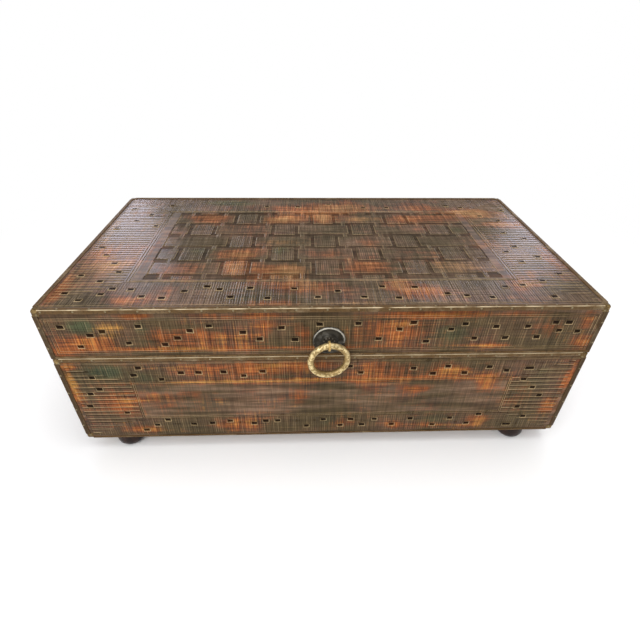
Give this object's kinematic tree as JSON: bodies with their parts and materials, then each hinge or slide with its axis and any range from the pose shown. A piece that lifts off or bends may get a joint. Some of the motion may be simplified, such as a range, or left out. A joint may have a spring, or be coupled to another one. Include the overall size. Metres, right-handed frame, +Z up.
{
  "type": "storage trunk",
  "caption": "Rectangular camphor wood trunk covered in tooled painted leather, with metal edging, a hinged lid, a ring pull, slotted lid stays and bun feet.",
  "frame": {"origin": "on the floor, under the middle of the outline of the whole trunk, its ring and hinges included", "axes": "+X to the right along the trunk, +Y from the front to the hinges, +Z up"},
  "size_m": [1.2224, 0.6914, 0.4422],
  "materials": {
    "camphor_wood": "planed camphor boards, satin",
    "painted_leather": "tooled and painted hide, semi-gloss",
    "bronze_edging": "thin angle, dull olive patina",
    "aged_brass": "hammered and worn brass",
    "black_iron": "blackened casting with bright worn rim",
    "hinge_brass": "drawn brass, dull",
    "dark_lacquer": "turned hardwood under dark gloss lacquer"
  },
  "bodies": {
    "case": {"case_front_board": "camphor_wood", "case_front_leather": "painted_leather", "case_back_board": "camphor_wood", "case_back_leather": "painted_leather", "case_left_board": "camphor_wood", "case_left_leather": "painted_leather", "case_right_board": "camphor_wood", "case_right_leather": "painted_leather", "case_bottom_planks": "camphor_wood", "foot_blocks": "camphor_wood", "case_front_lip": "camphor_wood", "case_left_lip": "camphor_wood", "case_right_lip": "camphor_wood", "case_rim_edging": "bronze_edging", "case_bottom_edging": "bronze_edging", "case_corner_edging": "bronze_edging", "case_rim_caps": "aged_brass", "case_bottom_caps": "aged_brass", "case_tacks": "aged_brass", "foot_front_left": "dark_lacquer", "foot_front_right": "dark_lacquer", "foot_back_left": "dark_lacquer", "foot_back_right": "dark_lacquer", "hinge_1_case_leaf": "hinge_brass", "hinge_2_case_leaf": "hinge_brass", "hinge_3_case_leaf": "hinge_brass", "hinge_pins": "hinge_brass", "case_screws": "hinge_brass", "left_stay_stud": "hinge_brass", "right_stay_stud": "hinge_brass"},
    "lid": {"lid_front_board": "camphor_wood", "lid_front_leather": "painted_leather", "lid_back_board": "camphor_wood", "lid_back_leather": "painted_leather", "lid_left_board": "camphor_wood", "lid_left_leather": "painted_leather", "lid_right_board": "camphor_wood", "lid_right_leather": "painted_leather", "lid_top_planks": "camphor_wood", "lid_battens": "camphor_wood", "lid_top_leather": "painted_leather", "lid_top_edging": "bronze_edging", "lid_rim_edging": "bronze_edging", "lid_corner_edging": "bronze_edging", "lid_caps": "aged_brass", "lid_tacks": "aged_brass", "hinge_1_lid_leaf": "hinge_brass", "hinge_2_lid_leaf": "hinge_brass", "hinge_3_lid_leaf": "hinge_brass", "lid_screws": "hinge_brass", "left_stay_bracket": "hinge_brass", "right_stay_bracket": "hinge_brass", "ring_plate": "black_iron", "ring_eye": "aged_brass"},
    "ring": {"ring": "aged_brass"},
    "left_stay": {"left_stay_arm": "hinge_brass"},
    "right_stay": {"right_stay_arm": "hinge_brass"}
  },
  "joints": [
    {"name": "lid_hinge", "type": "hinge", "parent": "case", "child": "lid", "pos_m": [0, 0.34171, 0.3102], "axis": [-1, 0, 0], "range_deg": [0, 100]},
    {"name": "ring_swing", "type": "hinge", "parent": "lid", "child": "ring", "pos_m": [0.005, -0.33329, 0.355], "axis": [-0.9925, -0.1219, 0], "range_deg": [-5, 165]},
    {"name": "left_stay_swing", "type": "hinge", "parent": "lid", "child": "left_stay", "pos_m": [-0.58215, 0.2368, 0.34328], "axis": [-1, 0, 0], "range_deg": [-50, 0]},
    {"name": "right_stay_swing", "type": "hinge", "parent": "lid", "child": "right_stay", "pos_m": [0.58215, 0.2368, 0.34328], "axis": [-1, 0, 0], "range_deg": [-50, 0]}
  ],
  "couplings": [
    {"joint": "left_stay_swing", "follows": "lid_hinge", "ratio": -0.5},
    {"joint": "right_stay_swing", "follows": "lid_hinge", "ratio": -0.5}
  ]
}
